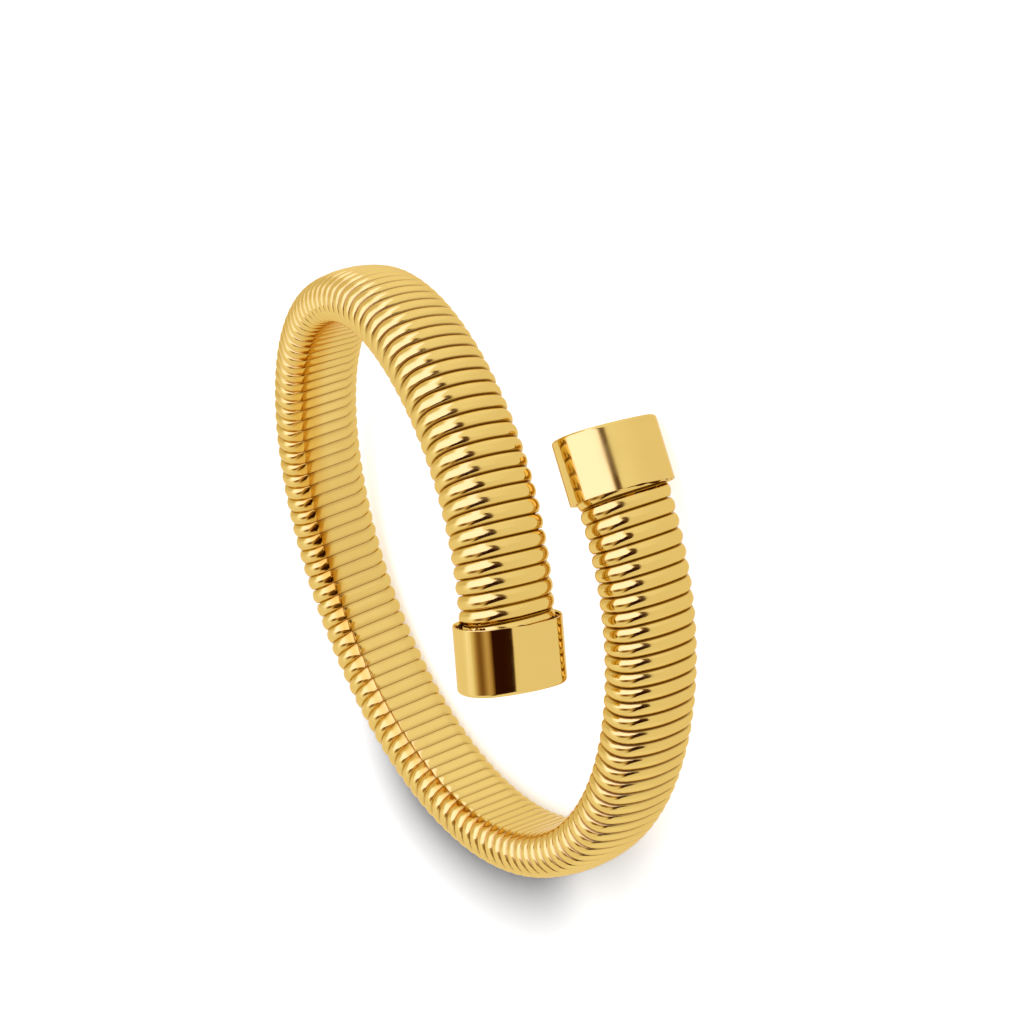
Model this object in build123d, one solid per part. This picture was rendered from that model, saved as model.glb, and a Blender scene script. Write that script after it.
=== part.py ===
from build123d import *
import math
import os

import numpy as np

# A wrap bangle lying on its side. A domed metal strip is wound into a coil with a rounded front
# and a flat back, a flat spring runs inside the coil and keeps its shape, and a drawn cup closes
# each end. The coil goes once round the wrist and its two ends pass each other at the front.
# Lengths are millimetres and angles are degrees. X is side to side, the opening faces -Y.

# Hoop line, the curve down the middle of the coil
hoop_radius = 32.25
hoop_oval = 0.60  # the line lies this much further out at the sides, and further in at the front
arm_offset = 0.64  # the lower arm lies this much further out than the middle of the coil
upper_tuck = 1.0  # the upper end is pressed in by this much
overlap_angle = 41.4  # how far the ends of the two cups pass each other
lead_height = 14.4  # gained in one whole turn
lead_bow = 0.65  # the back lies flatter than the arms by this much
end_lift_lower = 0.87
end_lift_upper = 0.54
end_reach_angle = 25.8  # the tuck and the lifts fade out over this angle

# Section of the coil, measured over the crowns of the strip
coil_width = 10.0
dome_rise = 2.95  # from the hoop line out to the middle of the front
back_depth = 2.70  # from the hoop line in to the flat back
shoulder_radius = 2.6
corner_radius = 2.28
side_facing = 90  # facings are angles from the front
corner_facing = 135
back_facing = 180

# The wound strip
turn_width = 1.632  # from turn to turn along the hoop line
strip_height = 0.75
strip_gap = 0.10
crest_share = 0.45  # flat part of the strip's crown, as a share of its width
coil_in_cup = 3.0  # how deep the coil goes into each cup

# End cups
cup_length = 6.9
cup_wall = 0.40
cup_clearance = 0.30
cup_end_wall = 0.60
cup_edge_radius = 0.35
edge_share = 0.9  # the edge may take up this share of the end wall

# Spring inside the coil
spring_width = 5.6
spring_thickness = 1.0
spring_clearance = 0.15
spring_sections = 49

# A round part of the section may take up this share of the depth that it lies in
round_limit = 0.97


def end_angle():
    """Angle from the middle of the coil, at the back, to the outer end of a cup."""
    return math.radians(180 + overlap_angle / 2)


def hoop_point(angle):
    """Point of the hoop line at an angle from the back, positive towards the lower arm."""
    share = angle / end_angle()
    reach = math.radians(end_reach_angle)
    near_lower = math.exp(-((angle - end_angle()) / reach) ** 2)
    near_upper = math.exp(-((angle + end_angle()) / reach) ** 2)
    around = math.pi / 2 + angle
    radius = hoop_radius + hoop_oval * math.cos(2 * around) + arm_offset * share
    radius -= upper_tuck * near_upper
    height = lead_bow * (share ** 3 - share) - lead_height * angle / (2 * math.pi)
    height += end_lift_lower * near_lower + end_lift_upper * near_upper
    return np.array([radius * math.cos(around), radius * math.sin(around), height])


def hoop_frame(angle):
    """Point, tangent, outward and upward directions of the hoop line."""
    step = 1e-3
    tangent = hoop_point(angle + step) - hoop_point(angle - step)
    tangent /= np.linalg.norm(tangent)
    around = math.pi / 2 + angle
    upward = np.cross([math.cos(around), math.sin(around), 0], tangent)
    upward /= np.linalg.norm(upward)
    return hoop_point(angle), tangent, np.cross(tangent, upward), upward


def section_plane(angle):
    """Plane across the coil: its x is upward and its y is outward."""
    point, tangent, outward, upward = hoop_frame(angle)
    return Plane(origin=tuple(point), x_dir=tuple(upward), z_dir=tuple(tangent))


class Section:
    """The coil's outline: a front dome, two shoulders, two corners and a flat back."""

    def __init__(self):
        self.half_width = coil_width / 2
        self.shoulder = min(shoulder_radius, round_limit * min(dome_rise, self.half_width))
        self.corner = min(corner_radius, round_limit * min(back_depth, self.half_width))
        across = self.half_width - self.shoulder
        rise = dome_rise - self.shoulder
        self.dome = self.shoulder + (across ** 2 + rise ** 2) / (2 * rise)
        self.lean = math.degrees(math.atan2(across, self.dome - dome_rise))

    def point(self, facing, outset=0.0):
        """Point whose outward normal is turned by facing from the front, moved out by outset."""
        side = math.copysign(1, facing)
        turn = math.radians(facing)
        if abs(facing) <= self.lean:
            centre, radius = (0.0, dome_rise - self.dome), self.dome
        elif abs(facing) < side_facing:
            centre, radius = (side * (self.half_width - self.shoulder), 0.0), self.shoulder
        else:
            centre = (side * (self.half_width - self.corner), self.corner - back_depth)
            radius = self.corner
        x = centre[0] + (radius + outset) * math.sin(turn)
        y = centre[1] + (radius + outset) * math.cos(turn)
        if abs(facing) == side_facing:
            y /= 2  # the middle of the short straight side
        return x, y

    def stations(self):
        """Facings at which the strip is bent, once round from the upper shoulder."""
        upper = [self.lean, self.lean / 3]
        lower = [-facing for facing in reversed(upper)]
        side = [self.shoulder_facing(), side_facing, corner_facing, back_facing]
        return upper + lower + [-facing for facing in side] + list(reversed(side))

    def shoulder_facing(self):
        """Facing of the middle of a shoulder."""
        return (self.lean + side_facing) / 2

    def face(self, outset):
        """The outline moved out by outset, as a face of arcs and lines."""
        dome_edge = self.lean
        shoulder = self.shoulder_facing()
        level = self.corner - back_depth
        side_x = self.half_width + outset

        def at(facing):
            return self.point(facing, outset)

        edges = [
            ThreePointArc(at(dome_edge), at(0), at(-dome_edge)),
            ThreePointArc(at(-dome_edge), at(-shoulder), (-side_x, 0)),
            Line((-side_x, 0), (-side_x, level)),
            ThreePointArc((-side_x, level), at(-corner_facing), at(-back_facing)),
            Line(at(-back_facing), at(back_facing)),
            ThreePointArc(at(back_facing), at(corner_facing), (side_x, level)),
            Line((side_x, level), (side_x, 0)),
            ThreePointArc((side_x, 0), at(shoulder), at(dome_edge)),
        ]
        return make_face(edges)


def mouth_angle():
    """Angle at which the coil enters a cup."""
    return end_angle() - cup_length / hoop_radius


def wound_strip(section):
    """One strip wound from inside the upper cup, over the back, to inside the lower cup."""
    first = -(mouth_angle() + coil_in_cup / hoop_radius)
    step = turn_width / hoop_radius
    turns = int(-2 * first / step)
    stations = section.stations()
    rings = []
    for index in range(turns * len(stations) + 1):
        facing = stations[index % len(stations)]
        point, tangent, outward, upward = hoop_frame(first + step * index / len(stations))
        crown_x, crown_y = section.point(facing)
        base_x, base_y = section.point(facing, -strip_height)
        half = (step * (hoop_radius + base_y) - strip_gap) / 2
        crown = point + upward * crown_x + outward * crown_y
        base = point + upward * base_x + outward * base_y
        along = tangent * half
        rings.append([base - along, base + along,
                      crown + along * crest_share, crown - along * crest_share])
    wires = [Wire.make_polygon([Vector(*corner) for corner in ring]) for ring in rings]
    return Solid.make_loft(wires, ruled=True), np.concatenate(rings)


def end_cup(section, end):
    """Drawn cup on the lower end (end = 1) or the upper end (end = -1)."""
    mouth = section_plane(end * mouth_angle())
    outset = cup_clearance + cup_wall
    block = extrude(mouth * section.face(outset), amount=end * cup_length)
    far_face = block.faces().sort_by(Axis(mouth.origin, mouth.z_dir * end))[-1]
    block = fillet(far_face.edges(), min(cup_edge_radius, cup_end_wall * edge_share))
    hollow = extrude(mouth * section.face(cup_clearance), amount=end * (cup_length - cup_end_wall))
    return block - hollow


def inner_spring():
    """Flat spring that lies against the back of the coil and ends just short of both cup ends."""
    near = strip_height + spring_clearance - back_depth
    far_end = mouth_angle() + (cup_length - cup_end_wall - 2 * spring_clearance) / hoop_radius
    wires = []
    for share in np.linspace(-1, 1, spring_sections):
        plane = section_plane(share * far_end)
        middle = near + spring_thickness / 2
        outline = Pos(0, middle) * Rectangle(spring_width, spring_thickness)
        wires.append((plane * outline).wire())
    return Solid.make_loft(wires)


def supporting_slope(points, centre):
    """Slope of the plane under all the points that stands highest below the centre."""
    ticks = np.linspace(-1, 1, 9)
    grid = np.array([(a, b) for a in ticks for b in ticks])
    best = np.zeros(2)
    reach = 0.5
    while reach > 1e-8:
        slopes = best + reach * grid
        heights = points[:, 2] - slopes @ (points[:, :2] - centre[:2]).T
        best = slopes[heights.min(axis=1).argmax()]
        reach *= 0.7
    return best


def resting_plane(points, centre):
    """Plane that the bangle settles on, with its origin under the middle of the bangle."""
    axes = np.eye(3)
    for _ in range(3):
        slope = supporting_slope(points @ axes.T, axes @ centre)
        up = np.array([-slope[0], -slope[1], 1]) @ axes
        up /= np.linalg.norm(up)
        across = np.array([1, 0, 0]) - up[0] * up
        across /= np.linalg.norm(across)
        axes = np.array([across, np.cross(up, across), up])
    placed = points @ axes.T
    low, high = placed.min(axis=0), placed.max(axis=0)
    origin = np.array([(low[0] + high[0]) / 2, (low[1] + high[1]) / 2, low[2]]) @ axes
    return Plane(origin=tuple(origin), x_dir=tuple(axes[0]), z_dir=tuple(axes[2]))


def main():
    section = Section()
    coil, strip_corners = wound_strip(section)
    pieces = {
        "coil_strip": coil,
        "inner_spring": inner_spring(),
        "lower_end_cup": end_cup(section, 1),
        "upper_end_cup": end_cup(section, -1),
    }
    masses = [(piece.volume, np.array(tuple(piece.center(CenterOf.MASS)))) for piece in pieces.values()]
    total = sum(volume for volume, _ in masses)
    centre = sum(volume * middle for volume, middle in masses) / total
    corners = [strip_corners]
    for name in ("lower_end_cup", "upper_end_cup"):
        skin, _ = pieces[name].tessellate(0.01)
        corners.append(np.array([tuple(point) for point in skin]))
    floor = resting_plane(np.concatenate(corners), centre)
    os.makedirs("parts", exist_ok=True)
    for name, piece in pieces.items():
        export_step(floor.to_local_coords(piece), f"parts/{name}.step")
    print("floor plane", floor.origin, floor.x_dir, floor.z_dir)


main()
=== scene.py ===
import math

import bmesh
import bpy
import numpy as np
from mathutils import Matrix, Vector


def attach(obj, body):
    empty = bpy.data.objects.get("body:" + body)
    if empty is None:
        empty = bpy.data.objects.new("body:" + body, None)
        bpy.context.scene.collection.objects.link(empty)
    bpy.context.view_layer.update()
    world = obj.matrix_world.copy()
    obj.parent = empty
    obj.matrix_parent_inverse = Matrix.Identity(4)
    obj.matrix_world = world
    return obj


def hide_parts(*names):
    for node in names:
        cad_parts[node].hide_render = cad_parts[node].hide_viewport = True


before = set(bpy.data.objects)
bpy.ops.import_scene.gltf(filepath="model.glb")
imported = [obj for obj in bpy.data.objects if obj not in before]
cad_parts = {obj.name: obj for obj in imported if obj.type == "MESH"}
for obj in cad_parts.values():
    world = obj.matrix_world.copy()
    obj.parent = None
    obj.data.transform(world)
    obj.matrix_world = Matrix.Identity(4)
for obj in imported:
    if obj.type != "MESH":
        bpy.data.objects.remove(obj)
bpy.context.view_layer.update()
scene = bpy.context.scene
mm = 0.001
fullTurn = 2 * math.pi
print("frame loaded:", ", ".join(sorted(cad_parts)))


# Node trees

class Wire:  # an output socket that takes part in sums, adding Math nodes as it goes
    def __init__(self, kit, socket):
        self.kit = kit
        self.socket = socket

    def maths(self, operation, first, second):
        return self.kit.add("ShaderNodeMath", {"operation": operation}, {0: first, 1: second})

    def __add__(self, other):
        return self.maths("ADD", self, other)

    def __radd__(self, other):
        return self.maths("ADD", other, self)

    def __sub__(self, other):
        return self.maths("SUBTRACT", self, other)

    def __rsub__(self, other):
        return self.maths("SUBTRACT", other, self)

    def __mul__(self, other):
        return self.maths("MULTIPLY", self, other)

    def __rmul__(self, other):
        return self.maths("MULTIPLY", other, self)

    def __truediv__(self, other):
        return self.maths("DIVIDE", self, other)

    def __rtruediv__(self, other):
        return self.maths("DIVIDE", other, self)


class NodeKit:  # fills one node tree
    def __init__(self, tree):
        self.tree = tree
        tree.nodes.clear()

    def add(self, kind, settings=None, sockets=None, out=0):
        node = self.tree.nodes.new(kind)
        for name, value in (settings or {}).items():
            if name == "stops":
                self.fillRamp(node.color_ramp, value)
            else:
                setattr(node, name, value)
        for name, value in (sockets or {}).items():
            self.feed(node.inputs[name], value)
        return Wire(self, node.outputs[out]) if node.outputs else node

    def other(self, wire, out):  # another output of the same node
        return Wire(self, wire.socket.node.outputs[out])

    def feed(self, socket, value):
        if isinstance(value, Wire):
            self.tree.links.new(value.socket, socket)
        else:
            socket.default_value = value

    def fillRamp(self, ramp, stops):
        while len(ramp.elements) < len(stops):
            ramp.elements.new(1.0)
        for element, (place, colour) in zip(ramp.elements, stops):
            element.position = place
            element.color = colour

    def vector(self, operation, first, second=(0, 0, 0)):
        return self.add("ShaderNodeVectorMath", {"operation": operation}, {0: first, 1: second})

    def scaled(self, vector, share):
        return self.add("ShaderNodeVectorMath", {"operation": "SCALE"}, {0: vector, "Scale": share})

    def sine(self, value):
        return self.add("ShaderNodeMath", {"operation": "SINE"}, {0: value})

    def absolute(self, value):
        return self.add("ShaderNodeMath", {"operation": "ABSOLUTE"}, {0: value})

    def parts(self, vector):
        split = self.add("ShaderNodeSeparateXYZ", None, {0: vector})
        return split, self.other(split, 1), self.other(split, 2)

    def mapped(self, value, fromLow, fromHigh, toLow, toHigh, way="LINEAR"):
        return self.add("ShaderNodeMapRange", {"interpolation_type": way, "clamp": True},
                        {0: value, 1: fromLow, 2: fromHigh, 3: toLow, 4: toHigh})

    def greyRamp(self, value, shades):
        stops = [(place, (shade, shade, shade, 1)) for place, shade in shades]
        return self.add("ShaderNodeValToRGB", {"stops": stops}, {0: value})

    def mixedColour(self, share, first, second):
        settings = {"data_type": "RGBA", "blend_type": "MIX", "clamp_factor": True}
        return self.add("ShaderNodeMix", settings, {0: share, 6: first, 7: second}, out=2)

    def noise(self, place, scale):
        settings = {"noise_dimensions": "3D"}
        return self.add("ShaderNodeTexNoise", settings, {"Vector": place, "Scale": scale})

    def attribute(self, name):
        return self.add("ShaderNodeAttribute", {"attribute_name": name}, None, out="Fac")


# The lines that the bangle follows, in its own frame: millimetres and degrees

hoop = {
    "radius": 32.25, "oval": 0.60, "armOffset": 0.64, "upperTuck": 1.0,
    "overlapAngle": 41.4, "lead": 14.4, "leadBow": 0.65,
    "liftLower": 0.87, "liftUpper": 0.54, "endReachAngle": 25.8,
    "spareLength": 3.0, "linePoints": 1201, "tangentStep": 1e-3,
}
section = {
    "width": 10.0, "domeRise": 2.95, "backDepth": 2.70, "shoulder": 2.6, "corner": 2.28,
    "arcStep": 5.0, "flatPoints": 9, "longestRun": 1.0, "samePoint": 1e-6,
}
cup = {
    "length": 6.9, "wall": 0.40, "clearance": 0.30, "endWall": 0.60, "edgeRadius": 0.35,
    "coilInside": 3.0,
}
restPlane = {  # the floor under the bangle, seen from its own frame
    "origin": (-0.027719, 0.236204, -9.24075),
    "side": (0.999598, -0.003476, 0.028129),
    "up": (-0.028343, -0.122579, 0.992054),
}
weldDistance = 1e-4


def hoopEnd():
    return math.radians(180 + hoop["overlapAngle"] / 2)


def mouthAngle():
    return hoopEnd() - cup["length"] / hoop["radius"]


def hoopPoint(angle):
    share = angle / hoopEnd()
    reach = math.radians(hoop["endReachAngle"])
    nearLower = math.exp(-((angle - hoopEnd()) / reach) ** 2)
    nearUpper = math.exp(-((angle + hoopEnd()) / reach) ** 2)
    around = math.pi / 2 + angle
    radius = hoop["radius"] + hoop["oval"] * math.cos(2 * around) + hoop["armOffset"] * share
    radius -= hoop["upperTuck"] * nearUpper
    height = hoop["leadBow"] * (share ** 3 - share) - hoop["lead"] * angle / fullTurn
    height += hoop["liftLower"] * nearLower + hoop["liftUpper"] * nearUpper
    return np.array([radius * math.cos(around), radius * math.sin(around), height])


def hoopFrame(angle):  # point, tangent, outward and upward directions
    step = hoop["tangentStep"]
    tangent = hoopPoint(angle + step) - hoopPoint(angle - step)
    tangent /= np.linalg.norm(tangent)
    around = math.pi / 2 + angle
    upward = np.cross([math.cos(around), math.sin(around), 0], tangent)
    upward /= np.linalg.norm(upward)
    return hoopPoint(angle), tangent, np.cross(tangent, upward), upward


def shoulderPlace():  # how far to the side the middle of a shoulder's arc is
    return section["width"] / 2 - section["shoulder"]


def domeRadius():
    across, rise = shoulderPlace(), section["domeRise"] - section["shoulder"]
    return section["shoulder"] + (across ** 2 + rise ** 2) / (2 * rise)


def domeLean():  # angle of the dome's edge from its middle
    return math.atan2(shoulderPlace(), domeRadius() - section["domeRise"])


def cornerDrop():  # the short straight side between a shoulder and a corner
    return section["backDepth"] - section["corner"]


def sectionOutline(outset=0.0):
    across, dome, lean = shoulderPlace(), domeRadius(), math.degrees(domeLean())
    level = -cornerDrop()
    inner = section["width"] / 2 - section["corner"]
    arcs = [  # centre, radius, and the facings where it starts and stops
        ((0, section["domeRise"] - dome), dome, lean, -lean),
        ((-across, 0), section["shoulder"], -lean, -90),
        ((-inner, level), section["corner"], -90, -180),
        ((inner, level), section["corner"], -180, -270),
        ((across, 0), section["shoulder"], -270, -360 + lean),
    ]
    points = []
    for centre, radius, start, stop in arcs:
        steps = max(2, round(abs(stop - start) / section["arcStep"]))
        for facing in np.linspace(start, stop, steps + 1):
            turn = math.radians(facing)
            point = np.array([centre[0] + (radius + outset) * math.sin(turn),
                              centre[1] + (radius + outset) * math.cos(turn)])
            gap = np.linalg.norm(point - points[-1]) if points else 0.0
            if gap > section["longestRun"]:
                run = np.linspace(points[-1], point, section["flatPoints"])
                points.extend(run[1:-1])
            if not points or np.linalg.norm(point - points[-1]) > section["samePoint"]:
                points.append(point)
    return np.array(points[:-1])


def lineObject(name, points, closed=False):
    curve = bpy.data.curves.new(name, "CURVE")
    curve.dimensions = "3D"
    spline = curve.splines.new("POLY")
    spline.points.add(len(points) - 1)
    spline.points.foreach_set("co", [value for point in points for value in (*point, 1.0)])
    spline.use_cyclic_u = closed
    line = bpy.data.objects.new(name, curve)
    scene.collection.objects.link(line)
    return line


def toFloorFrame():
    up, side = Vector(restPlane["up"]), Vector(restPlane["side"])
    turn = Matrix((side, up.cross(side), up)).to_4x4()
    return Matrix.Scale(mm, 4) @ turn @ Matrix.Translation(-Vector(restPlane["origin"]))


def tube(rings, joined=False):  # quads from ring to ring, and from the last to the first if joined
    shape = bmesh.new()
    loops = [[shape.verts.new(point) for point in ring] for ring in rings]
    for near, far in zip(loops, loops[1:] + loops[:1] if joined else loops[1:]):
        for index in range(len(near)):
            after = (index + 1) % len(near)
            shape.faces.new((near[index], near[after], far[after], far[index]))
    return shape, loops


def meshFrom(name, shape):
    mesh = bpy.data.meshes.new(name)
    shape.to_mesh(mesh)
    shape.free()
    return mesh


def finished(name, mesh):  # a piece from a mesh in the bangle's own frame
    shape = bmesh.new()
    shape.from_mesh(mesh)
    bmesh.ops.remove_doubles(shape, verts=shape.verts, dist=weldDistance)
    bmesh.ops.holes_fill(shape, edges=shape.edges, sides=0)
    bmesh.ops.recalc_face_normals(shape, faces=shape.faces)
    shape.to_mesh(mesh)
    shape.free()
    mesh.transform(toFloorFrame())
    mesh.shade_smooth()
    piece = bpy.data.objects.new(name, mesh)
    scene.collection.objects.link(piece)
    return piece


# Materials

cupFinish = {
    "colour": (0.78, 0.555, 0.147, 1), "roughness": 0.07, "cloud": 260.0, "dent": 0.012,
}
satinFinish = {**cupFinish, "roughness": 0.12}
ribFinish = {
    "colour": (0.78, 0.550, 0.140, 1), "roughness": 0.10, "cloud": 420.0, "dent": 0.02,
    # painted shade: the dark colour mixed into the grooves and seams; painted reflection: the
    # orange mixed along the inner crease
    "groove": (0.105, 0.012, 0.001, 1), "grooveRough": 0.35, "crease": (0.70, 0.36, 0.025, 1),
    "speck": 0.55,
}
springFinish = {
    "colour": (0.55, 0.54, 0.52, 1), "roughness": 0.3, "cloud": 600.0, "dent": 0.05,
}
patina = {  # what the metals share; ranges are of the noise
    "grain": 4000.0, "grainShare": 0.3, "roughRange": (0.45, 0.85), "smoother": 0.75,
    "rougher": 1.3, "bump": 0.3, "toneRange": (0.35, 0.65), "toneMost": 0.06,
    "tone": (0.60, 0.38, 0.09, 1), "edgeTint": (1.0, 0.86, 0.60, 1),
}
pits = {
    "scale": 330.0, "chosen": (0.965, 0.97), "size": (0.03, 0.06),
    "colour": (0.10, 0.035, 0.006, 1),
}


def newMaterial(name):
    material = bpy.data.materials.new(name)
    material.use_nodes = True
    return material, NodeKit(material.node_tree)


def metalFinish(name, look):
    material, kit = newMaterial(name)
    place = kit.add("ShaderNodeTexCoord", None, None, out="Object")
    cloud = kit.noise(place, look["cloud"])
    grain = kit.noise(place, patina["grain"])
    rough = kit.mapped(cloud + grain * patina["grainShare"], *patina["roughRange"],
                       look["roughness"] * patina["smoother"],
                       look["roughness"] * patina["rougher"])
    bump = kit.add("ShaderNodeBump", None, {
        "Strength": patina["bump"], "Distance": look["dent"] * mm, "Height": cloud,
    })
    stain = kit.mapped(cloud, *patina["toneRange"], 0.0, patina["toneMost"])
    tone = kit.mixedColour(stain, look["colour"], patina["tone"])
    if "speck" in look:  # a few small dark pits
        cells = kit.add("ShaderNodeTexVoronoi", {"voronoi_dimensions": "3D", "feature": "F1"},
                        {"Vector": place, "Scale": pits["scale"], "Randomness": 1.0})
        pick, _, _ = kit.parts(kit.other(cells, "Color"))
        pit = kit.mapped(pick, *pits["chosen"], 0.0, 1.0)
        pit = pit * kit.mapped(cells, *pits["size"], 1.0, 0.0)
        tone = kit.mixedColour(pit * look["speck"], tone, pits["colour"])
    if "burn" in look:  # patches left dark by the torch
        tone = kit.mixedColour(kit.mapped(cloud, *look["burnRange"], 1.0, 0.0), tone, look["burn"])
    # painted light in the base colour: an orange reflection along the inner crease and dark shade
    # in the grooves, where the metal is also rougher
    if "groove" in look:
        tone = kit.mixedColour(kit.attribute("crease"), tone, look["crease"])
        depth = kit.attribute("groove")
        tone = kit.mixedColour(depth, tone, look["groove"])
        rough = rough + depth * look["grooveRough"]
    shader = kit.add("ShaderNodeBsdfPrincipled", None, {
        "Base Color": tone, "Metallic": 1.0, "Roughness": rough, "Normal": bump,
        "Specular Tint": patina["edgeTint"],
    })
    kit.add("ShaderNodeOutputMaterial", None, {"Surface": shader})
    return material


cupGold = metalFinish("polishedGold", cupFinish)
satinGold = metalFinish("satinGold", satinFinish)
stripGold = metalFinish("ribbedGold", ribFinish)
springSteel = metalFinish("springSteel", springFinish)
print("materials made")


# The wound strip

strip = {  # places across the strip are shares of a turn's width, the rest are millimetres
    "depth": 0.75, "domeHalf": 0.462, "domeHeight": 0.29, "domeTurn": 50.0, "domeSteps": 10,
    "ledgeDepth": 0.60, "ledgeHalf": 0.498, "ledgeBlend": 0.02, "widest": 0.4995,
    "stationRuns": (8, 6, 9, 4, 9, 6),  # stations on the dome, a side, a corner, the back and so on
    "domeEdge": (0.455, 0.490), "seamEdge": (0.20, 0.46),
    "insideEdge": (-1.2, -1.0), "backEdge": (3.3, 4.0), "notchPlace": 3.4, "notchHalf": 0.6,
    # where the painted light lies: the seams' painted shade, the grooves' painted shade fading at
    # the sides, rear and arm ends, and the crease's painted orange reflection
    "sideEdge": (-0.8, 0.6), "rearEdge": (4.0, 24.0), "armEdge": (0.0, 0.6),
    "bendEdge": (-12.0, 20.0), "creaseEdge": (3.7, 4.3), "creaseFade": (-0.6, 0.5),
}
stripSizes = {  # the tree's named inputs
    "Turn Width": 1.632, "Arm Gap": 0.115,
    "Inner Close": 0.07, "Inner Flat": 0.68, "Inner Fill": 0.28,  # the ribs meet on the flat back
    # the next line sets the painted shade on the inner face's seams and the painted orange
    # reflection along the crease
    "Notch": 0.10, "Seam": 0.24, "Crease Reflection": 0.75, "Crease Reflection Wide": 1.1, "Crease Reflection Narrow": 3.4,
    # the painted shade in the outer grooves: how deep it starts and ends, and how strong it is at
    # the sides, the rear and the arms' ends
    "Groove Shade From": -0.22, "Groove Shade To": -0.36,
    "Groove Shade Side": 0.40, "Groove Shade Rear": 0.70, "Groove Shade End": 0.50,
    "Drift Shift": 0.048, "Drift Stretch": 0.5145,  # in turns: they sit closer in the arms
    "Drift Sine": -1.093, "Drift Cosine": 0.238, "Drift Second": -0.103,
}
stripParts = {  # and what makeStrip works out for it
    "Hoop Line": "Object", "Section Line": "Object", "Rib Line": "Object", "Turns": "Float",
    "Rows": "Int", "Columns": "Int", "Lead In": "Float", "Gold": "Material",
}


def ribOutline():  # x is a share of the turn's width, y is the height in millimetres
    points = []
    edge = math.radians(strip["domeTurn"])
    for swing in np.linspace(-edge, edge, strip["domeSteps"] + 1):
        points.append((strip["domeHalf"] * math.sin(swing) / math.sin(edge),
                       strip["domeHeight"] * (math.cos(swing) - 1) / (1 - math.cos(edge))))
    dome, ledge = strip["domeHalf"], strip["ledgeHalf"]
    step, foot = -strip["ledgeDepth"], -strip["depth"]
    points += [(dome, step), (ledge, step), (ledge, foot), (-ledge, foot), (-ledge, step),
               (-dome, step)]
    return [(x, y, 0.0) for x, y in points + points[:1]]


def sectionPace():  # how far round the section each station lies: closest at the inner corners
    lean = domeLean()
    front = 2 * domeRadius() * lean
    flank = section["shoulder"] * (math.pi / 2 - lean) + cornerDrop()
    bend = section["corner"] * math.pi / 2
    back = section["width"] - 2 * section["corner"]
    runs = list(zip(strip["stationRuns"], (front, flank, bend, back, bend, flank)))
    stations, length = np.cumsum([(0, 0.0)] + runs, axis=0).T
    return list(zip((stations / stations[-1]).tolist(), (length / length[-1]).tolist()))


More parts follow.
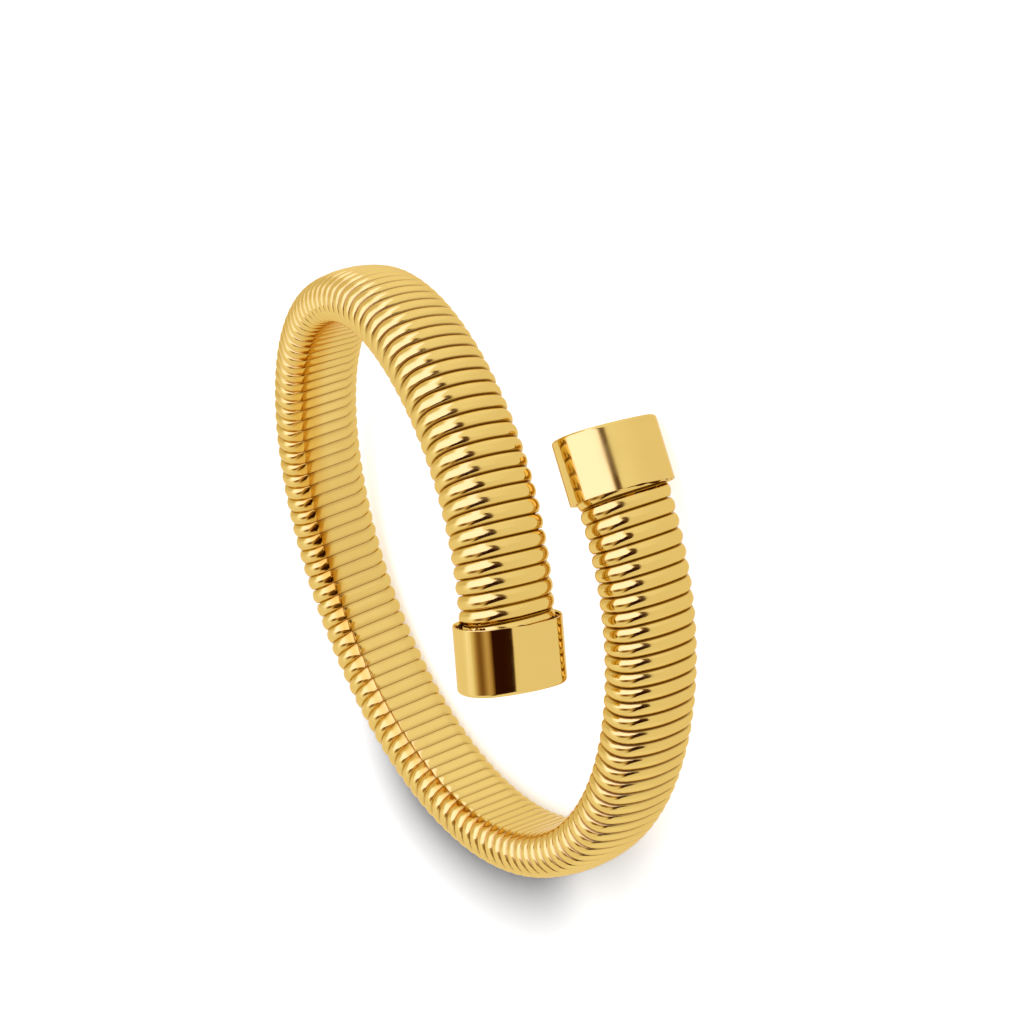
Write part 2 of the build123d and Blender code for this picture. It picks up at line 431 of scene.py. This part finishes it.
def stripTree():
    tree = bpy.data.node_groups.new("woundStrip", "GeometryNodeTree")
    sockets = {}
    for name, kind in {**stripParts, **dict.fromkeys(stripSizes, "Float")}.items():
        socket = tree.interface.new_socket(name, in_out="INPUT", socket_type="NodeSocket" + kind)
        sockets[name] = socket.identifier
    tree.interface.new_socket("Geometry", in_out="OUTPUT", socket_type="NodeSocketGeometry")
    kit = NodeKit(tree)
    given = kit.add("NodeGroupInput")

    def entry(name):
        return kit.other(given, name)

    def lineOf(name):
        return kit.add("GeometryNodeObjectInfo", None, {"Object": entry(name)}, out="Geometry")

    def spotOn(name, mode, socket, value):
        return kit.add("GeometryNodeSampleCurve", {"mode": mode},
                       {"Curves": lineOf(name), socket: value}, out="Position")

    def marked(geometry, name, value):
        return kit.add("GeometryNodeStoreNamedAttribute", {"data_type": "FLOAT", "domain": "POINT"},
                       {"Geometry": geometry, "Name": name, "Value": value})

    # the rib's profile runs across the grid and the turns run along it
    grid = kit.add("GeometryNodeMeshGrid", None, {
        "Size X": 1.0, "Size Y": entry("Turns"),
        "Vertices X": entry("Columns"), "Vertices Y": entry("Rows"),
    })
    acrossGrid, alongGrid, _ = kit.parts(kit.add("GeometryNodeInputPosition"))
    turn = alongGrid + entry("Turns") / 2
    column = (acrossGrid + 0.5) * (entry("Columns") - 1)
    column = kit.add("FunctionNodeFloatToInt", {"rounding_mode": "ROUND"}, {0: column})
    settings = {"data_type": "FLOAT_VECTOR", "domain": "POINT"}
    ribPoint = kit.add("GeometryNodeSampleIndex", settings, {
        "Geometry": lineOf("Rib Line"), "Value": kit.add("GeometryNodeInputPosition"),
        "Index": column,
    })
    ribAcross, ribHeight, _ = kit.parts(ribPoint)

    # where on the section it is
    share = kit.add("ShaderNodeMath", {"operation": "FRACT"}, {0: turn})
    share, _, _ = kit.parts(kit.greyRamp(share, sectionPace()))
    around = spotOn("Section Line", "FACTOR", "Factor", share)
    faceUp, faceOut, _ = kit.parts(kit.other(around, "Tangent"))
    upPlace, outPlace, _ = kit.parts(around)
    inside = kit.mapped(outPlace, *strip["insideEdge"], 1.0, 0.0)
    reach = kit.absolute(upPlace)
    back = kit.mapped(reach, *strip["backEdge"], 1.0, 0.0, "SMOOTHSTEP") * inside
    notch = kit.absolute(reach - strip["notchPlace"])
    notch = kit.mapped(notch, 0.0, strip["notchHalf"], 1.0, 0.0, "SMOOTHSTEP") * inside
    swing = kit.sine(turn / entry("Turns") * fullTurn)
    swing = swing * swing  # 1 in the middle of each arm, 0 at the ends and at the back of the wrist

    # the rib's shape there
    dome = kit.mapped(kit.absolute(ribAcross), *strip["domeEdge"], 1.0, 0.0)
    wide = ribAcross * (1 + back * entry("Inner Close"))
    wide = wide * (1 - dome * (1 - back) * swing * entry("Arm Gap"))
    across = kit.add("ShaderNodeClamp", None, {
        "Value": wide, "Min": -strip["widest"], "Max": strip["widest"],
    })
    ledge = kit.absolute(ribHeight + strip["ledgeDepth"])
    ledge = kit.mapped(ledge, 0.0, strip["ledgeBlend"], 1.0, 0.0)
    rise = (ribHeight + ledge * back * entry("Inner Fill")) * (1 - back * entry("Inner Flat"))
    rise = rise - notch * entry("Notch")

    # where on the hoop it is
    done = (turn + across) / entry("Turns")
    circle = done * fullTurn
    drift = entry("Drift Shift") + entry("Drift Stretch") * (done - 0.5)
    drift = drift + entry("Drift Sine") * kit.sine(circle)
    drift = drift + entry("Drift Second") * kit.sine(circle * 2)
    drift = drift + entry("Drift Cosine") * kit.sine(circle + math.pi / 2)
    length = (turn + drift + across) * entry("Turn Width") + entry("Lead In")
    spot = spotOn("Hoop Line", "LENGTH", "Length", length)
    tangent = kit.other(spot, "Tangent")
    radial = kit.vector("MULTIPLY", spot, (1, 1, 0))
    upward = kit.vector("NORMALIZE", kit.vector("CROSS_PRODUCT", radial, tangent))
    outward = kit.vector("CROSS_PRODUCT", tangent, upward)
    lift = kit.scaled(upward, upPlace + faceOut * rise)
    push = kit.scaled(outward, outPlace - faceUp * rise)
    place = kit.vector("ADD", spot, kit.vector("ADD", lift, push))

    # painted light: dark shade in its grooves and seams, and an orange reflection along the inner
    # crease
    aside, rear, _ = kit.parts(spot)
    groove = kit.mapped(ribHeight, entry("Groove Shade To"), entry("Groove Shade From"), 1.0, 0.0) * (1 - back)
    groove = groove * kit.mapped(outPlace, *strip["sideEdge"], entry("Groove Shade Side"), 1.0)
    groove = groove * kit.mapped(rear, *strip["rearEdge"], 1.0, entry("Groove Shade Rear"))
    groove = groove * kit.mapped(swing, *strip["armEdge"], entry("Groove Shade End"), 1.0)
    # painted shade along the seams of the flat inner face
    seamShade = kit.mapped(kit.absolute(ribAcross), *strip["seamEdge"], 0.0, 1.0, "SMOOTHSTEP")
    groove = groove + seamShade * back * entry("Seam")
    # painted orange reflection along the crease between the side ribs and the flat inner face
    bendEnd = kit.mapped(aside, *strip["bendEdge"], entry("Crease Reflection Narrow"), entry("Crease Reflection Wide"))
    crease = kit.mapped(reach, *strip["creaseEdge"], 1.0, 0.0) * inside * entry("Crease Reflection")
    crease = crease * kit.mapped(upPlace - bendEnd, *strip["creaseFade"], 0.0, 1.0)

    # both are stored before the grid is wound, while the positions still say where it came from
    shape = marked(marked(grid, "groove", groove), "crease", crease)
    shape = kit.add("GeometryNodeSetPosition", None, {"Geometry": shape, "Position": place})
    shape = kit.add("GeometryNodeRealizeInstances", None, {"Geometry": shape})
    shape = kit.add("GeometryNodeSetMaterial", None, {"Geometry": shape, "Material": entry("Gold")})
    kit.add("NodeGroupOutput", None, {0: shape})
    return tree, sockets


def makeStrip():
    start = mouthAngle() + cup["coilInside"] / hoop["radius"]
    spare = hoop["spareLength"] / hoop["radius"]
    angles = np.linspace(-start - spare, start + spare, hoop["linePoints"])
    line = [hoopPoint(angle) for angle in angles]
    length = np.linalg.norm(np.diff(line, axis=0), axis=1).sum()
    turns = int((length - 2 * hoop["spareLength"]) / stripSizes["Turn Width"])
    ribPoints = ribOutline()
    hoopLine = lineObject("hoopLine", line)
    sectionLine = lineObject("sectionLine", [(x, y, 0) for x, y in sectionOutline()], closed=True)
    ribLine = lineObject("ribLine", ribPoints)
    tree, sockets = stripTree()
    base = bpy.data.objects.new("stripBase", bpy.data.meshes.new("stripBase"))
    scene.collection.objects.link(base)
    modifier = base.modifiers.new("wound", "NODES")
    modifier.node_group = tree
    values = {
        **stripSizes, "Hoop Line": hoopLine, "Section Line": sectionLine, "Rib Line": ribLine,
        "Turns": float(turns), "Rows": turns * sum(strip["stationRuns"]) + 1,
        "Columns": len(ribPoints), "Gold": stripGold,
        "Lead In": (length - turns * stripSizes["Turn Width"]) / 2,
    }
    for name, value in values.items():
        modifier[sockets[name]] = value
    bpy.context.view_layer.update()
    wound = base.evaluated_get(bpy.context.evaluated_depsgraph_get())
    mesh = bpy.data.meshes.new_from_object(wound)
    mesh.materials.pop(index=0)  # the base's own empty slot comes first
    for helper in (base, hoopLine, sectionLine, ribLine):
        bpy.data.objects.remove(helper)
    piece = finished("coilStrip", mesh)
    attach(piece, "root")
    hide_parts("coil_strip")
    print("strip wound:", turns, "turns,", len(mesh.polygons), "faces")


makeStrip()


# End cups

cupShape = {
    "lip": 0.05, "lipRound": 0.3, "rim": 0.16, "flareRows": (0.9, 0.6), "wallRows": 8,
    "edgeSteps": 6, "faceRings": (0.97, 0.7, 0.4), "faceCrown": 0.05,
    "wear": 0.035, "wearWaves": [(3, 1, 1.0), (7, 2, 0.6)], "wearSwing": 0.5, "wearLips": 4,
    "nicks": [(0.045, 0.10, 0.012), (0.175, 0.13, 0.010), (0.215, 0.08, 0.016),
              (0.62, 0.10, 0.02)],
}


def lipDip(share, end):  # how far the mouth's edge is worn back, share goes once round the cup
    wave = sum(size * math.sin(fullTurn * count * share + phase * end)
               for count, phase, size in cupShape["wearWaves"])
    dip = cupShape["wear"] * (1 + cupShape["wearSwing"] * wave)
    for place, depth, width in cupShape["nicks"]:
        dip += depth * math.exp(-((share - place) / width) ** 2)
    return dip


def cupRows():  # distance from the mouth and outset of each ring, from the bottom of the hollow
    outer = cup["clearance"] + cup["wall"]
    lip, edge = cupShape["lip"], cup["edgeRadius"]
    small = cupShape["lipRound"] * lip
    rim = outer - cupShape["rim"]  # the wall is filed thinner inside its mouth
    bottom = cup["length"] - cup["endWall"]
    rows = [(distance, cup["clearance"]) for distance in (bottom, *cupShape["flareRows"])]
    rows += [(lip, rim), (0.0, rim + small), (0.0, outer - lip), (small, outer - small),
             (lip, outer), (2 * lip, outer)]
    wall = np.linspace(2 * lip, cup["length"] - edge - lip, cupShape["wallRows"])
    rows += [(distance, outer) for distance in wall[1:]]
    rows.append((cup["length"] - edge, outer))
    for swing in np.linspace(0, math.pi / 2, cupShape["edgeSteps"])[1:]:
        rows.append((cup["length"] - edge + edge * math.sin(swing),
                     outer - edge + edge * math.cos(swing)))
    return rows


def makeCup(name, node, end, gold):
    centre, tangent, outward, upward = hoopFrame(end * mouthAngle())
    inward = tangent * end
    rings = []
    for distance, outset in cupRows():
        outline = sectionOutline(outset)
        near = max(0.0, 1 - distance / (cupShape["wearLips"] * cupShape["lip"]))
        dips = [near * lipDip(index / len(outline), end) for index in range(len(outline))]
        rings.append([centre + inward * (distance + dip) + upward * x + outward * y
                      for (x, y), dip in zip(outline, dips)])
    last = np.array(rings[-1])
    middle = last.mean(axis=0)
    crown = inward * cupShape["faceCrown"]
    for share in cupShape["faceRings"]:
        rings.append(list(middle + (last - middle) * share + crown * (1 - share ** 2)))
    shape, loops = tube(rings)
    shape.faces.new(loops[0])
    tip = shape.verts.new(middle + crown)
    for first, second in zip(loops[-1], loops[-1][1:] + loops[-1][:1]):
        shape.faces.new((first, second, tip))
    piece = finished(name, meshFrom(name, shape))
    piece.data.materials.append(gold)
    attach(piece, "root")
    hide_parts(node)


makeCup("lowerCup", "lower_end_cup", 1, satinGold)
makeCup("upperCup", "upper_end_cup", -1, cupGold)
print("cups made")


# Solder between the coil and the cups

solder = {
    "colour": (0.70, 0.47, 0.12, 1), "roughness": 0.2, "cloud": 700.0, "dent": 0.06,
    "burn": (0.05, 0.010, 0.002, 1), "burnRange": (0.55, 0.60),
    "inner": -0.22, "outer": 0.33, "foot": 0.9, "outerDrop": 0.32,
    "crown": [(0.1, 0.16), (-0.1, 0.03)],  # from the middle, and down from the top of a lump
    "low": -0.07, "high": 0.42, "crispness": 1.6, "around": 4,
    "waves": [(5, 0.9, 0.50), (11, 2.1, 0.35), (23, 4.0, 0.30), (41, 1.3, 0.20)],
}
solderGold = metalFinish("solderedGold", solder)


def solderDepth(share, end):  # how far in from the mouth the solder's top lies
    level = sum(size * math.sin(fullTurn * count * share + phase * (2 + end))
                for count, phase, size in solder["waves"])
    level = 0.5 + 0.5 * math.tanh(solder["crispness"] * level)
    return solder["low"] + (solder["high"] - solder["low"]) * level


def makeSolder(name, end):
    centre, tangent, outward, upward = hoopFrame(end * mouthAngle())
    inward = tangent * end
    middle = (solder["inner"] + solder["outer"]) / 2
    count = len(sectionOutline(middle)) * solder["around"]
    profile = [(solder["outer"], solder["foot"]), (solder["outer"], solder["outerDrop"])]
    profile += [(middle + aside, drop) for aside, drop in solder["crown"]]
    profile += [(solder["inner"], 0.0), (solder["inner"], solder["foot"])]
    rings = []
    for outset, lower in profile:
        outline = sectionOutline(outset)
        closed = np.vstack([outline, outline[:1]])
        places = np.linspace(0, len(outline), count, endpoint=False)
        xs, ys = (np.interp(places, np.arange(len(closed)), column) for column in closed.T)
        depths = [solderDepth(index / count, end) + lower for index in range(count)]
        rings.append([centre + inward * depth + upward * x + outward * y
                      for x, y, depth in zip(xs, ys, depths)])
    shape, _ = tube(rings, joined=True)
    piece = finished(name, meshFrom(name, shape))
    piece.data.materials.append(solderGold)
    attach(piece, "root")


makeSolder("lowerSolder", 1)
makeSolder("upperSolder", -1)
print("solder laid")

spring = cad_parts["inner_spring"]
spring.data.materials.clear()
spring.data.materials.append(springSteel)


# Floor, light and camera

view = {
    "position": (18.19, -241.96, 149.6), "forward": (-0.04733, 0.84951, -0.52544),
    "up": (0.96167, -0.10348, -0.25394), "lens": 88.49, "sensor": 36.0, "clipStart": 0.01,
}
floorLook = {
    "halfSize": 3.0, "shade": 0.92, "roughness": 0.85, "grain": 0.012, "grainScale": 40.0,
}
frontLamp = {"radius": 4.0, "power": 43.0}
shadeCard = {  # angles are degrees round the bangle and lengths are millimetres
    "height": 1.5, "start": 98.0, "stop": 216.0, "steps": 40, "rows": 24,
    "inside": 31.0, "reach": 52.5, "reachAt": 106, "turnIn": 0.0040, "leastReach": 36.0,
    "spread": 18.0, "grey": 0.1, "most": 0.905, "softness": 0.62, "fade": 6.5,
    "darkFrom": 127, "darkTo": 154, "darkFade": 17, "tail": 0.55, "tailAt": 168, "tailFade": 24,
    "innerRows": 4, "outerRows": 5, "startFade": 8, "stopFade": 12,
}


def stageObject(name, mesh):
    stage = bpy.data.objects.new(name, mesh)
    scene.collection.objects.link(stage)
    return stage


def makeFloor():
    mesh = bpy.data.meshes.new("floor")
    half = floorLook["halfSize"]
    corners = [(-half, -half, 0), (half, -half, 0), (half, half, 0), (-half, half, 0)]
    mesh.from_pydata(corners, [], [(0, 1, 2, 3)])
    floor = stageObject("floor", mesh)
    material, kit = newMaterial("paleFloor")
    place = kit.add("ShaderNodeTexCoord", None, None, out="Object")
    grain = kit.noise(place, floorLook["grainScale"])
    bright = floorLook["shade"]
    dull = bright - floorLook["grain"]
    colour = kit.mixedColour(grain, (bright, bright, bright, 1), (dull, dull, dull, 1))
    shader = kit.add("ShaderNodeBsdfPrincipled", None, {
        "Base Color": colour, "Roughness": floorLook["roughness"], "Specular IOR Level": 0.0,
    })
    kit.add("ShaderNodeOutputMaterial", None, {"Surface": shader})
    mesh.materials.append(material)
    floor.visible_glossy = False  # the gold sees the studio below it as an even pale sweep


def makeFrontLamp():  # at the camera and even over the floor, so its shadows hide behind the bangle
    lamp = bpy.data.lights.new("frontLamp", "POINT")
    lamp.energy = frontLamp["power"]
    lamp.shadow_soft_size = frontLamp["radius"] * mm
    lamp.use_nodes = True
    kit = NodeKit(lamp.node_tree)
    even = kit.add("ShaderNodeLightFalloff", None, {"Strength": 1.0}, out="Constant")
    glow = kit.add("ShaderNodeEmission", None, {"Strength": even})
    kit.add("ShaderNodeOutputLight", None, {"Surface": glow})
    holder = stageObject("frontLamp", lamp)
    holder.location = Vector(view["position"]) * mm
    holder.visible_glossy = False


def shadeShare(degrees, beyond):  # how much light the card holds back
    before = max(0.0, shadeCard["darkFrom"] - degrees) / shadeCard["darkFade"]
    after = max(0.0, degrees - shadeCard["darkTo"]) / shadeCard["darkFade"]
    tail = (degrees - shadeCard["tailAt"]) / shadeCard["tailFade"]
    side = max(math.exp(-before ** 2 - after ** 2), shadeCard["tail"] * math.exp(-tail ** 2))
    fade = 1.0 if beyond < 0 else math.exp(-beyond / shadeCard["fade"])
    return shadeCard["most"] * (side * fade) ** shadeCard["softness"]


def makeShadeCard():  # a sheet just over the floor lays the soft shade below the bangle
    points, shares = [], []
    lampPlace = Vector(view["position"])
    lift = shadeCard["height"] / lampPlace.z
    rows, start, stop = shadeCard["rows"], shadeCard["start"], shadeCard["stop"]
    for degrees in np.linspace(start, stop, shadeCard["steps"]):
        turn = math.radians(degrees)
        edge = shadeCard["reach"] - shadeCard["turnIn"] * (degrees - shadeCard["reachAt"]) ** 2
        edge = max(edge, shadeCard["leastReach"])
        sides = min(1.0, (degrees - start) / shadeCard["startFade"],
                    (stop - degrees) / shadeCard["stopFade"])
        radii = np.linspace(shadeCard["inside"], edge + shadeCard["spread"], rows)
        for row, radius in enumerate(radii):
            spot = Vector((radius * math.cos(turn), radius * math.sin(turn), 0))
            points.append(tuple((spot + (lampPlace - spot) * lift) * mm))
            ends = min(1.0, row / shadeCard["innerRows"], (rows - 1 - row) / shadeCard["outerRows"])
            shares.append(shadeShare(degrees, radius - edge) * ends * sides)
    faces = [(k, k + 1, k + rows + 1, k + rows)
             for k in range(len(points) - rows) if k % rows != rows - 1]
    mesh = bpy.data.meshes.new("shadeCard")
    mesh.from_pydata(points, [], faces)
    mesh.attributes.new("veil", "FLOAT", "POINT").data.foreach_set("value", shares)
    card = stageObject("shadeCard", mesh)
    material, kit = newMaterial("shadeCard")
    grey = shadeCard["grey"]
    shader = kit.add("ShaderNodeBsdfPrincipled", None, {
        "Base Color": (grey, grey, grey, 1), "Roughness": 1.0, "Alpha": kit.attribute("veil"),
    })
    kit.add("ShaderNodeOutputMaterial", None, {"Surface": shader})
    mesh.materials.append(material)
    card.visible_camera = False
    card.visible_glossy = False


studio = {  # brightness of each part of the room
    "sweep": 1.0, "sweepRight": 1.14, "sweepLeft": 1.08, "sweepFront": 1.10, "backWall": 1.03,
    "ceiling": 1.12, "sidePanel": 0.82, "greyCard": 0.86, "window": 1.50, "windowFar": 1.12,
    "wedge": 0.03, "rail": 0.10, "fill": (1.24, 1.22, 1.185), "top": 4.0, "rampTop": 2.0,
}
roomEdge = {  # where a part begins and how soft its edge is: x, y and z run from -1 to 1
    "horizon": (-0.05, 0.015), "behind": (0.0, 0.12),
    "right": (0.75, 0.2), "left": (-0.90, 0.08), "frontX": (0.08, 0.10), "frontZ": (-0.40, 0.35),
    "backWall": (0.4, 0.3), "ceilingY": (0.12, 0.08), "ceilingZ": (0.80, 0.10),
    "panelX": (0.35, 0.15), "panelZ": (-0.30, 0.08),
    "windowY": (0.30, 0.25), "sill": (0.0, 0.02), "farX": (0.90, 0.12), "farZ": (0.25, 0.05),
    "cardX": (0.2, 0.2), "cardY": (-0.05, 0.15), "cardLow": (0.20, 0.05), "cardHigh": (0.50, 0.20),
    "drapeRight": (-0.03, 0.02), "drapeLeft": (-0.60, 0.05), "drapeY": (0.03, 0.20),
    "wedgeTop": (0.15, 0.02), "wedgeLeft": (-0.75, 0.10), "wedgeRight": (0.40, 0.06),
    "railTop": (0.0, 0.02), "railLeft": (-0.16, 0.05),
}
roomSlope = {  # values run from and to, as x or y does
    "sill": (-0.75, 0.08, 0.075, -0.30), "sunk": (-0.43, -0.71, 0.0, 0.36),
    "railTaper": (0.42, 0.75, 0.055, -0.03), "wedgeFoot": (-0.10, 0.05),
    "drapeLean": 0.50, "drapeWaist": 0.1, "drapeFlare": 0.3, "wedge": 0.55,
}
drapeFolds = [  # height and brightness of the dark drape, from the floor up
    (0.0, 0.03), (0.24, 0.04), (0.34, 0.10), (0.44, 0.28), (0.52, 0.50), (0.64, 0.64),
    (0.72, 0.55), (0.80, 0.38), (0.87, 0.25), (0.92, 0.24), (0.96, 0.36), (1.0, 0.70),
]
warmth = [  # a dim part of the room looks brown in the gold and a bright one nearly white
    (0.0, (0.0, 0.0, 0.0)), (0.04, (0.04, 0.009, 0.002)), (0.25, (0.25, 0.135, 0.05)),
    (0.45, (0.45, 0.31, 0.18)), (0.65, (0.65, 0.50, 0.36)), (0.85, (0.85, 0.78, 0.70)),
    (1.0, (1.0, 0.97, 1.06)), (1.12, (1.12, 1.13, 1.35)), (1.3, (1.35, 1.42, 2.3)),
    (1.6, (1.8, 1.78, 3.8)),
]


def makeStudio():
    world = bpy.data.worlds.new("studio")
    scene.world = world
    world.use_nodes = True
    kit = NodeKit(world.node_tree)
    x, y, z = kit.parts(kit.add("ShaderNodeTexCoord", None, None, out="Generated"))

    def past(value, name):  # 0 before the edge, 1 after it
        edge, blur = roomEdge[name]
        return kit.mapped(value, edge - blur, edge + blur, 0.0, 1.0, "SMOOTHSTEP")

    def laid(level, value, mask):
        return level + (value - level) * mask

    front, behind = 1 - past(y, "behind"), past(y, "behind")
    level = laid(studio["sweep"], studio["sweepRight"], past(x, "right"))
    level = laid(level, studio["sweepLeft"], 1 - past(x, "left"))
    level = laid(level, studio["sweepFront"], past(x, "frontX") * past(z, "frontZ"))
    level = laid(level, studio["backWall"], past(y, "backWall") * past(z, "horizon"))
    level = laid(level, studio["ceiling"], past(y, "ceilingY") * past(z, "ceilingZ"))
    level = laid(level, studio["sidePanel"], past(x, "panelX") * past(z, "panelZ") * behind)

    overSill = z - kit.mapped(y, *roomSlope["sill"])
    glow = laid(studio["window"], studio["windowFar"], past(x, "farX") * past(overSill, "farZ"))
    lean = (z - roomSlope["drapeWaist"]) * (1 - z) * roomSlope["drapeLean"]
    beside = past(x + lean, "drapeRight")
    level = laid(level, glow, beside * (1 - past(y, "windowY")) * past(overSill, "sill"))
    card = past(y, "cardY") * past(overSill, "cardLow") * past(x, "cardX")
    level = laid(level, studio["greyCard"], card * (1 - past(z, "cardHigh")))

    sunk = kit.mapped(x, *roomSlope["sunk"])  # the drape and the wedge hang higher at the left
    hem = past(z - sunk, "horizon")
    flare = z * z * z * z * roomSlope["drapeFlare"]
    drape = past(x - flare, "drapeLeft") * (1 - beside) * hem * (1 - past(y, "drapeY"))
    level = laid(level, kit.greyRamp(z - sunk, drapeFolds), drape)
    wedge = (1 - past(z + x * roomSlope["wedge"], "wedgeTop")) * hem * front
    wedge = wedge * past(x, "wedgeLeft") * (1 - past(x, "wedgeRight"))
    foot = kit.mapped(x, *roomSlope["wedgeFoot"], studio["wedge"], studio["rail"])
    level = laid(level, foot, wedge)
    rail = 1 - past(kit.absolute(z) - kit.mapped(x, *roomSlope["railTaper"]), "railTop")
    level = laid(level, studio["rail"], rail * front * past(x, "railLeft"))

    high, reach = studio["top"], studio["rampTop"]
    stops = [(place / reach, (red / high, green / high, blue / high, 1))
             for place, (red, green, blue) in warmth]
    shade = kit.add("ShaderNodeValToRGB", {"stops": stops}, {0: level / reach})
    cameraRay = kit.add("ShaderNodeLightPath", None, None, out="Is Camera Ray")
    fill = (*(value / high for value in studio["fill"]), 1)
    shade = kit.mixedColour(kit.other(cameraRay, "Is Diffuse Ray"), shade, fill)
    shade = kit.mixedColour(cameraRay, shade, (1 / high, 1 / high, 1 / high, 1))
    light = kit.add("ShaderNodeBackground", None, {"Color": shade, "Strength": high})
    kit.add("ShaderNodeOutputWorld", None, {"Surface": light})


def makeCamera():
    data = bpy.data.cameras.new("camera")
    data.lens = view["lens"]
    data.sensor_width = view["sensor"]
    data.clip_start = view["clipStart"]
    camera = stageObject("camera", data)
    forward = Vector(view["forward"]).normalized()
    side = forward.cross(Vector(view["up"])).normalized()
    turn = Matrix((side, side.cross(forward), -forward)).transposed().to_4x4()
    camera.matrix_world = Matrix.Translation(Vector(view["position"]) * mm) @ turn
    scene.camera = camera
    scene.view_settings.view_transform = "Standard"


makeFloor()
makeFrontLamp()
makeShadeCard()
makeStudio()
makeCamera()

print("stage set")
